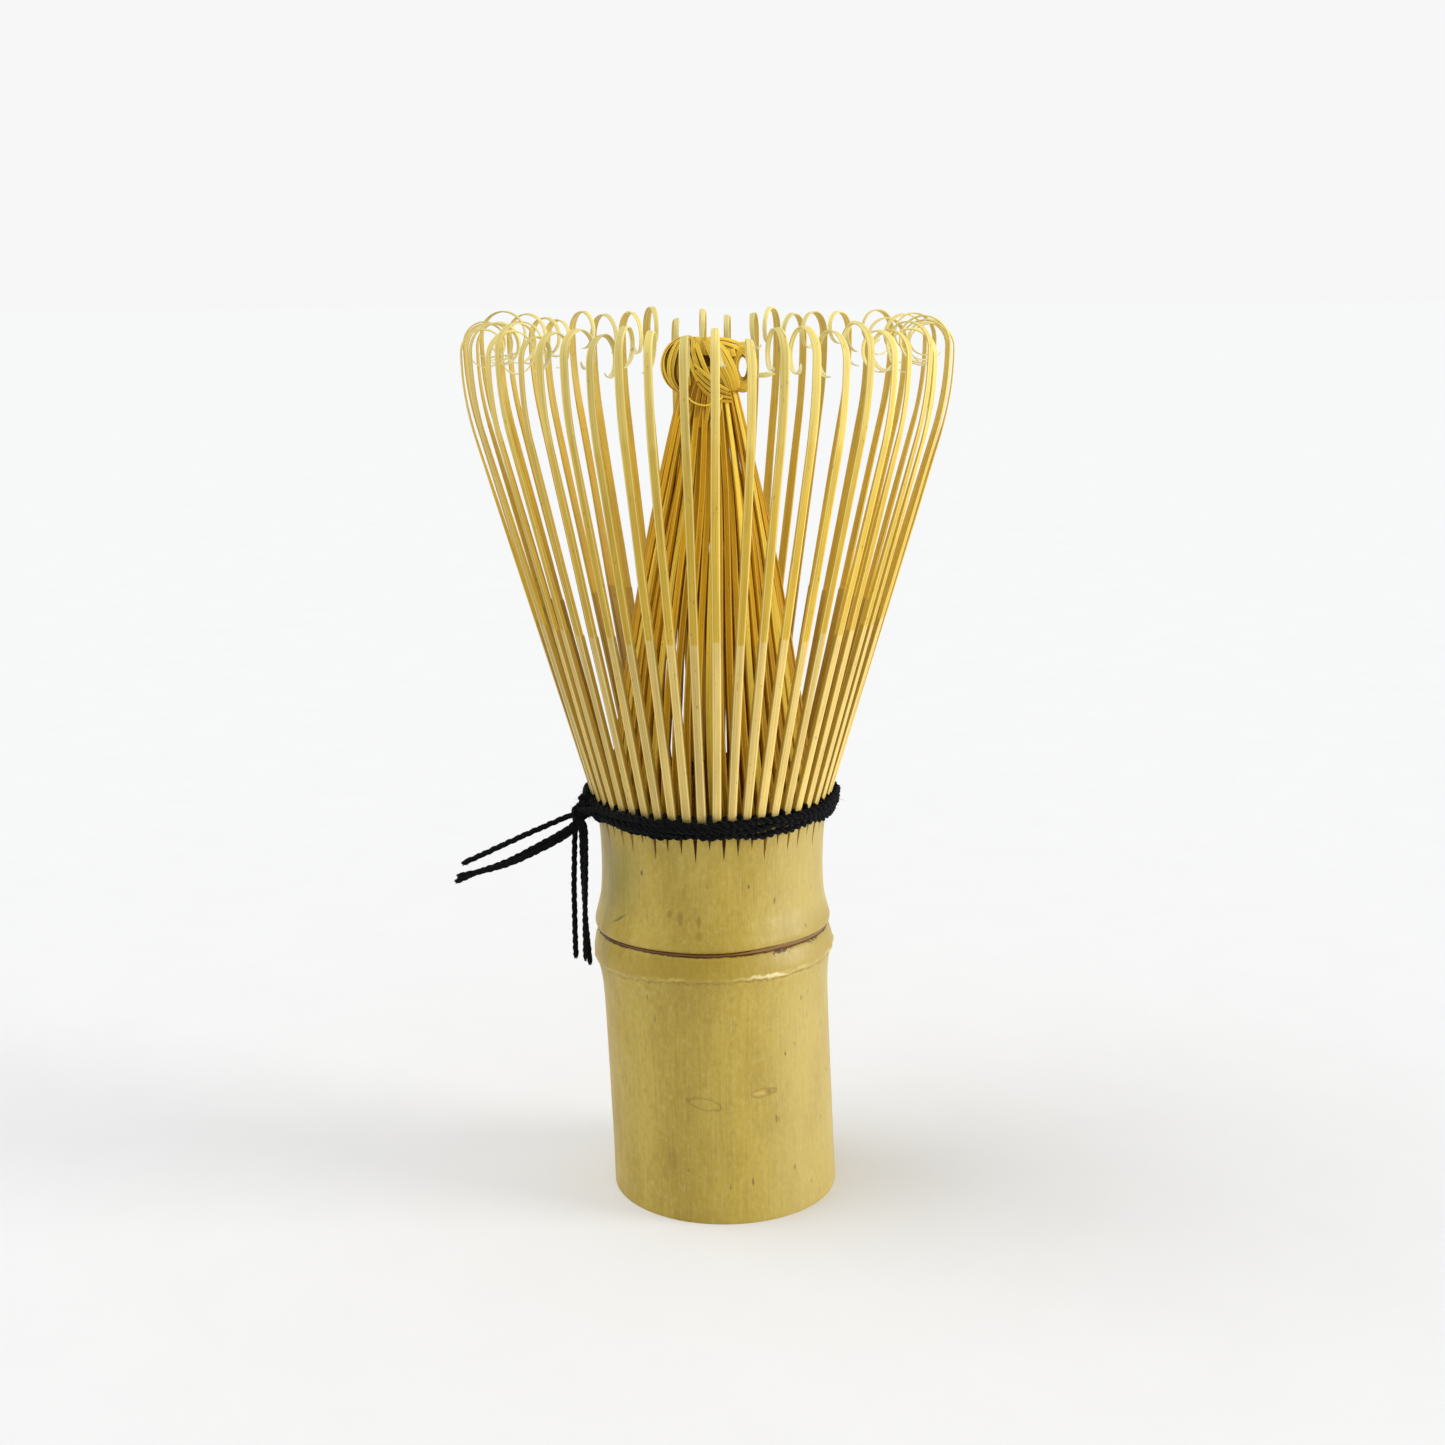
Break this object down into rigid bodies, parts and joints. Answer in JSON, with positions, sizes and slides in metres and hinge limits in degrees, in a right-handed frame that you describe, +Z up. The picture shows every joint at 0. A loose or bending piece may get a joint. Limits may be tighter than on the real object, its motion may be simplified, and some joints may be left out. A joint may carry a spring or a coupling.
{
  "type": "bamboo tea whisk",
  "caption": "Whisk for powdered tea, split from one piece of bamboo: a ring of thin curled outer tines round a knotted inner bundle, laced with black thread, on a short handle.",
  "frame": {"origin": "on the axis of the head, at the height of the surface that the whisk stands on", "axes": "+Z up along the head's axis towards the tine tips, -Y towards the viewer, the thread knot towards -X"},
  "size_m": [0.0608, 0.0592, 0.1105],
  "materials": {
    "culm": "satin, lightly polished bamboo skin",
    "tine_bamboo": "scraped bamboo, silky",
    "inner_bamboo": "scraped bamboo, silky",
    "thread": "twisted cotton thread"
  },
  "bodies": {
    "root": {"handle": "culm", "inner_tines": "inner_bamboo", "inner_knot": "inner_bamboo", "lacing": "thread", "tail_upper": "thread", "tail_pair": "thread", "tail_down": "thread", "tail_down_pair": "thread"},
    "tine_01": {"outer_tine_01": "tine_bamboo"},
    "tine_02": {"outer_tine_02": "tine_bamboo"},
    "tine_03": {"outer_tine_03": "tine_bamboo"},
    "tine_04": {"outer_tine_04": "tine_bamboo"},
    "tine_05": {"outer_tine_05": "tine_bamboo"},
    "tine_06": {"outer_tine_06": "tine_bamboo"},
    "tine_07": {"outer_tine_07": "tine_bamboo"},
    "tine_08": {"outer_tine_08": "tine_bamboo"},
    "tine_09": {"outer_tine_09": "tine_bamboo"},
    "tine_10": {"outer_tine_10": "tine_bamboo"},
    "tine_11": {"outer_tine_11": "tine_bamboo"},
    "tine_12": {"outer_tine_12": "tine_bamboo"},
    "tine_13": {"outer_tine_13": "tine_bamboo"},
    "tine_14": {"outer_tine_14": "tine_bamboo"},
    "tine_15": {"outer_tine_15": "tine_bamboo"},
    "tine_16": {"outer_tine_16": "tine_bamboo"},
    "tine_17": {"outer_tine_17": "tine_bamboo"},
    "tine_18": {"outer_tine_18": "tine_bamboo"},
    "tine_19": {"outer_tine_19": "tine_bamboo"},
    "tine_20": {"outer_tine_20": "tine_bamboo"},
    "tine_21": {"outer_tine_21": "tine_bamboo"},
    "tine_22": {"outer_tine_22": "tine_bamboo"},
    "tine_23": {"outer_tine_23": "tine_bamboo"},
    "tine_24": {"outer_tine_24": "tine_bamboo"},
    "tine_25": {"outer_tine_25": "tine_bamboo"},
    "tine_26": {"outer_tine_26": "tine_bamboo"},
    "tine_27": {"outer_tine_27": "tine_bamboo"},
    "tine_28": {"outer_tine_28": "tine_bamboo"},
    "tine_29": {"outer_tine_29": "tine_bamboo"},
    "tine_30": {"outer_tine_30": "tine_bamboo"},
    "tine_31": {"outer_tine_31": "tine_bamboo"},
    "tine_32": {"outer_tine_32": "tine_bamboo"},
    "tine_33": {"outer_tine_33": "tine_bamboo"},
    "tine_34": {"outer_tine_34": "tine_bamboo"},
    "tine_35": {"outer_tine_35": "tine_bamboo"},
    "tine_36": {"outer_tine_36": "tine_bamboo"},
    "tine_37": {"outer_tine_37": "tine_bamboo"},
    "tine_38": {"outer_tine_38": "tine_bamboo"},
    "tine_39": {"outer_tine_39": "tine_bamboo"},
    "tine_40": {"outer_tine_40": "tine_bamboo"},
    "tine_41": {"outer_tine_41": "tine_bamboo"},
    "tine_42": {"outer_tine_42": "tine_bamboo"},
    "tine_43": {"outer_tine_43": "tine_bamboo"},
    "tine_44": {"outer_tine_44": "tine_bamboo"},
    "tine_45": {"outer_tine_45": "tine_bamboo"},
    "tine_46": {"outer_tine_46": "tine_bamboo"},
    "tine_47": {"outer_tine_47": "tine_bamboo"},
    "tine_48": {"outer_tine_48": "tine_bamboo"},
    "tine_49": {"outer_tine_49": "tine_bamboo"},
    "tine_50": {"outer_tine_50": "tine_bamboo"},
    "tine_51": {"outer_tine_51": "tine_bamboo"},
    "tine_52": {"outer_tine_52": "tine_bamboo"}
  },
  "joints": [
    {"name": "tine_01_flex", "type": "hinge", "parent": "root", "child": "tine_01", "pos_m": [0.01433, 0.00087, 0.0512], "axis": [0.0604, -0.9982, 0], "range_deg": [-3, 5], "stiffness_Nm_per_rad": 0.009},
    {"name": "tine_02_flex", "type": "hinge", "parent": "root", "child": "tine_02", "pos_m": [0.01413, 0.00259, 0.0512], "axis": [0.1803, -0.9836, 0], "range_deg": [-3, 5], "stiffness_Nm_per_rad": 0.009},
    {"name": "tine_03_flex", "type": "hinge", "parent": "root", "child": "tine_03", "pos_m": [0.01371, 0.00427, 0.0512], "axis": [0.2975, -0.9547, 0], "range_deg": [-3, 5], "stiffness_Nm_per_rad": 0.009},
    {"name": "tine_04_flex", "type": "hinge", "parent": "root", "child": "tine_04", "pos_m": [0.0131, 0.00589, 0.0512], "axis": [0.4104, -0.9119, 0], "range_deg": [-3, 5], "stiffness_Nm_per_rad": 0.009},
    {"name": "tine_05_flex", "type": "hinge", "parent": "root", "child": "tine_05", "pos_m": [0.01229, 0.00743, 0.0512], "axis": [0.5173, -0.8558, 0], "range_deg": [-3, 5], "stiffness_Nm_per_rad": 0.009},
    {"name": "tine_06_flex", "type": "hinge", "parent": "root", "child": "tine_06", "pos_m": [0.0113, 0.00886, 0.0512], "axis": [0.6167, -0.7872, 0], "range_deg": [-3, 5], "stiffness_Nm_per_rad": 0.009},
    {"name": "tine_07_flex", "type": "hinge", "parent": "root", "child": "tine_07", "pos_m": [0.01015, 0.01015, 0.0512], "axis": [0.7071, -0.7071, 0], "range_deg": [-3, 5], "stiffness_Nm_per_rad": 0.009},
    {"name": "tine_08_flex", "type": "hinge", "parent": "root", "child": "tine_08", "pos_m": [0.00886, 0.0113, 0.0512], "axis": [0.7872, -0.6167, 0], "range_deg": [-3, 5], "stiffness_Nm_per_rad": 0.009},
    {"name": "tine_09_flex", "type": "hinge", "parent": "root", "child": "tine_09", "pos_m": [0.00743, 0.01229, 0.0512], "axis": [0.8558, -0.5173, 0], "range_deg": [-3, 5], "stiffness_Nm_per_rad": 0.009},
    {"name": "tine_10_flex", "type": "hinge", "parent": "root", "child": "tine_10", "pos_m": [0.00589, 0.0131, 0.0512], "axis": [0.9119, -0.4104, 0], "range_deg": [-3, 5], "stiffness_Nm_per_rad": 0.009},
    {"name": "tine_11_flex", "type": "hinge", "parent": "root", "child": "tine_11", "pos_m": [0.00427, 0.01371, 0.0512], "axis": [0.9547, -0.2975, 0], "range_deg": [-3, 5], "stiffness_Nm_per_rad": 0.009},
    {"name": "tine_12_flex", "type": "hinge", "parent": "root", "child": "tine_12", "pos_m": [0.00259, 0.01413, 0.0512], "axis": [0.9836, -0.1803, 0], "range_deg": [-3, 5], "stiffness_Nm_per_rad": 0.009},
    {"name": "tine_13_flex", "type": "hinge", "parent": "root", "child": "tine_13", "pos_m": [0.00087, 0.01433, 0.0512], "axis": [0.9982, -0.0604, 0], "range_deg": [-3, 5], "stiffness_Nm_per_rad": 0.009},
    {"name": "tine_14_flex", "type": "hinge", "parent": "root", "child": "tine_14", "pos_m": [-0.00087, 0.01433, 0.0512], "axis": [0.9982, 0.0604, 0], "range_deg": [-3, 5], "stiffness_Nm_per_rad": 0.009},
    {"name": "tine_15_flex", "type": "hinge", "parent": "root", "child": "tine_15", "pos_m": [-0.00259, 0.01413, 0.0512], "axis": [0.9836, 0.1803, 0], "range_deg": [-3, 5], "stiffness_Nm_per_rad": 0.009},
    {"name": "tine_16_flex", "type": "hinge", "parent": "root", "child": "tine_16", "pos_m": [-0.00427, 0.01371, 0.0512], "axis": [0.9547, 0.2975, 0], "range_deg": [-3, 5], "stiffness_Nm_per_rad": 0.009},
    {"name": "tine_17_flex", "type": "hinge", "parent": "root", "child": "tine_17", "pos_m": [-0.00589, 0.0131, 0.0512], "axis": [0.9119, 0.4104, 0], "range_deg": [-3, 5], "stiffness_Nm_per_rad": 0.009},
    {"name": "tine_18_flex", "type": "hinge", "parent": "root", "child": "tine_18", "pos_m": [-0.00743, 0.01229, 0.0512], "axis": [0.8558, 0.5173, 0], "range_deg": [-3, 5], "stiffness_Nm_per_rad": 0.009},
    {"name": "tine_19_flex", "type": "hinge", "parent": "root", "child": "tine_19", "pos_m": [-0.00886, 0.0113, 0.0512], "axis": [0.7872, 0.6167, 0], "range_deg": [-3, 5], "stiffness_Nm_per_rad": 0.009},
    {"name": "tine_20_flex", "type": "hinge", "parent": "root", "child": "tine_20", "pos_m": [-0.01015, 0.01015, 0.0512], "axis": [0.7071, 0.7071, 0], "range_deg": [-3, 5], "stiffness_Nm_per_rad": 0.009},
    {"name": "tine_21_flex", "type": "hinge", "parent": "root", "child": "tine_21", "pos_m": [-0.0113, 0.00886, 0.0512], "axis": [0.6167, 0.7872, 0], "range_deg": [-3, 5], "stiffness_Nm_per_rad": 0.009},
    {"name": "tine_22_flex", "type": "hinge", "parent": "root", "child": "tine_22", "pos_m": [-0.01229, 0.00743, 0.0512], "axis": [0.5173, 0.8558, 0], "range_deg": [-3, 5], "stiffness_Nm_per_rad": 0.009},
    {"name": "tine_23_flex", "type": "hinge", "parent": "root", "child": "tine_23", "pos_m": [-0.0131, 0.00589, 0.0512], "axis": [0.4104, 0.9119, 0], "range_deg": [-3, 5], "stiffness_Nm_per_rad": 0.009},
    {"name": "tine_24_flex", "type": "hinge", "parent": "root", "child": "tine_24", "pos_m": [-0.01371, 0.00427, 0.0512], "axis": [0.2975, 0.9547, 0], "range_deg": [-3, 5], "stiffness_Nm_per_rad": 0.009},
    {"name": "tine_25_flex", "type": "hinge", "parent": "root", "child": "tine_25", "pos_m": [-0.01413, 0.00259, 0.0512], "axis": [0.1803, 0.9836, 0], "range_deg": [-3, 5], "stiffness_Nm_per_rad": 0.009},
    {"name": "tine_26_flex", "type": "hinge", "parent": "root", "child": "tine_26", "pos_m": [-0.01433, 0.00087, 0.0512], "axis": [0.0604, 0.9982, 0], "range_deg": [-3, 5], "stiffness_Nm_per_rad": 0.009},
    {"name": "tine_27_flex", "type": "hinge", "parent": "root", "child": "tine_27", "pos_m": [-0.01433, -0.00087, 0.0512], "axis": [-0.0604, 0.9982, 0], "range_deg": [-3, 5], "stiffness_Nm_per_rad": 0.009},
    {"name": "tine_28_flex", "type": "hinge", "parent": "root", "child": "tine_28", "pos_m": [-0.01413, -0.00259, 0.0512], "axis": [-0.1803, 0.9836, 0], "range_deg": [-3, 5], "stiffness_Nm_per_rad": 0.009},
    {"name": "tine_29_flex", "type": "hinge", "parent": "root", "child": "tine_29", "pos_m": [-0.01371, -0.00427, 0.0512], "axis": [-0.2975, 0.9547, 0], "range_deg": [-3, 5], "stiffness_Nm_per_rad": 0.009},
    {"name": "tine_30_flex", "type": "hinge", "parent": "root", "child": "tine_30", "pos_m": [-0.0131, -0.00589, 0.0512], "axis": [-0.4104, 0.9119, 0], "range_deg": [-3, 5], "stiffness_Nm_per_rad": 0.009},
    {"name": "tine_31_flex", "type": "hinge", "parent": "root", "child": "tine_31", "pos_m": [-0.01229, -0.00743, 0.0512], "axis": [-0.5173, 0.8558, 0], "range_deg": [-3, 5], "stiffness_Nm_per_rad": 0.009},
    {"name": "tine_32_flex", "type": "hinge", "parent": "root", "child": "tine_32", "pos_m": [-0.0113, -0.00886, 0.0512], "axis": [-0.6167, 0.7872, 0], "range_deg": [-3, 5], "stiffness_Nm_per_rad": 0.009},
    {"name": "tine_33_flex", "type": "hinge", "parent": "root", "child": "tine_33", "pos_m": [-0.01015, -0.01015, 0.0512], "axis": [-0.7071, 0.7071, 0], "range_deg": [-3, 5], "stiffness_Nm_per_rad": 0.009},
    {"name": "tine_34_flex", "type": "hinge", "parent": "root", "child": "tine_34", "pos_m": [-0.00886, -0.0113, 0.0512], "axis": [-0.7872, 0.6167, 0], "range_deg": [-3, 5], "stiffness_Nm_per_rad": 0.009},
    {"name": "tine_35_flex", "type": "hinge", "parent": "root", "child": "tine_35", "pos_m": [-0.00743, -0.01229, 0.0512], "axis": [-0.8558, 0.5173, 0], "range_deg": [-3, 5], "stiffness_Nm_per_rad": 0.009},
    {"name": "tine_36_flex", "type": "hinge", "parent": "root", "child": "tine_36", "pos_m": [-0.00589, -0.0131, 0.0512], "axis": [-0.9119, 0.4104, 0], "range_deg": [-3, 5], "stiffness_Nm_per_rad": 0.009},
    {"name": "tine_37_flex", "type": "hinge", "parent": "root", "child": "tine_37", "pos_m": [-0.00427, -0.01371, 0.0512], "axis": [-0.9547, 0.2975, 0], "range_deg": [-3, 5], "stiffness_Nm_per_rad": 0.009},
    {"name": "tine_38_flex", "type": "hinge", "parent": "root", "child": "tine_38", "pos_m": [-0.00259, -0.01413, 0.0512], "axis": [-0.9836, 0.1803, 0], "range_deg": [-3, 5], "stiffness_Nm_per_rad": 0.009},
    {"name": "tine_39_flex", "type": "hinge", "parent": "root", "child": "tine_39", "pos_m": [-0.00087, -0.01433, 0.0512], "axis": [-0.9982, 0.0604, 0], "range_deg": [-3, 5], "stiffness_Nm_per_rad": 0.009},
    {"name": "tine_40_flex", "type": "hinge", "parent": "root", "child": "tine_40", "pos_m": [0.00087, -0.01433, 0.0512], "axis": [-0.9982, -0.0604, 0], "range_deg": [-3, 5], "stiffness_Nm_per_rad": 0.009},
    {"name": "tine_41_flex", "type": "hinge", "parent": "root", "child": "tine_41", "pos_m": [0.00259, -0.01413, 0.0512], "axis": [-0.9836, -0.1803, 0], "range_deg": [-3, 5], "stiffness_Nm_per_rad": 0.009},
    {"name": "tine_42_flex", "type": "hinge", "parent": "root", "child": "tine_42", "pos_m": [0.00427, -0.01371, 0.0512], "axis": [-0.9547, -0.2975, 0], "range_deg": [-3, 5], "stiffness_Nm_per_rad": 0.009},
    {"name": "tine_43_flex", "type": "hinge", "parent": "root", "child": "tine_43", "pos_m": [0.00589, -0.0131, 0.0512], "axis": [-0.9119, -0.4104, 0], "range_deg": [-3, 5], "stiffness_Nm_per_rad": 0.009},
    {"name": "tine_44_flex", "type": "hinge", "parent": "root", "child": "tine_44", "pos_m": [0.00743, -0.01229, 0.0512], "axis": [-0.8558, -0.5173, 0], "range_deg": [-3, 5], "stiffness_Nm_per_rad": 0.009},
    {"name": "tine_45_flex", "type": "hinge", "parent": "root", "child": "tine_45", "pos_m": [0.00886, -0.0113, 0.0512], "axis": [-0.7872, -0.6167, 0], "range_deg": [-3, 5], "stiffness_Nm_per_rad": 0.009},
    {"name": "tine_46_flex", "type": "hinge", "parent": "root", "child": "tine_46", "pos_m": [0.01015, -0.01015, 0.0512], "axis": [-0.7071, -0.7071, 0], "range_deg": [-3, 5], "stiffness_Nm_per_rad": 0.009},
    {"name": "tine_47_flex", "type": "hinge", "parent": "root", "child": "tine_47", "pos_m": [0.0113, -0.00886, 0.0512], "axis": [-0.6167, -0.7872, 0], "range_deg": [-3, 5], "stiffness_Nm_per_rad": 0.009},
    {"name": "tine_48_flex", "type": "hinge", "parent": "root", "child": "tine_48", "pos_m": [0.01229, -0.00743, 0.0512], "axis": [-0.5173, -0.8558, 0], "range_deg": [-3, 5], "stiffness_Nm_per_rad": 0.009},
    {"name": "tine_49_flex", "type": "hinge", "parent": "root", "child": "tine_49", "pos_m": [0.0131, -0.00589, 0.0512], "axis": [-0.4104, -0.9119, 0], "range_deg": [-3, 5], "stiffness_Nm_per_rad": 0.009},
    {"name": "tine_50_flex", "type": "hinge", "parent": "root", "child": "tine_50", "pos_m": [0.01371, -0.00427, 0.0512], "axis": [-0.2975, -0.9547, 0], "range_deg": [-3, 5], "stiffness_Nm_per_rad": 0.009},
    {"name": "tine_51_flex", "type": "hinge", "parent": "root", "child": "tine_51", "pos_m": [0.01413, -0.00259, 0.0512], "axis": [-0.1803, -0.9836, 0], "range_deg": [-3, 5], "stiffness_Nm_per_rad": 0.009},
    {"name": "tine_52_flex", "type": "hinge", "parent": "root", "child": "tine_52", "pos_m": [0.01433, -0.00087, 0.0512], "axis": [-0.0604, -0.9982, 0], "range_deg": [-3, 5], "stiffness_Nm_per_rad": 0.009}
  ]
}
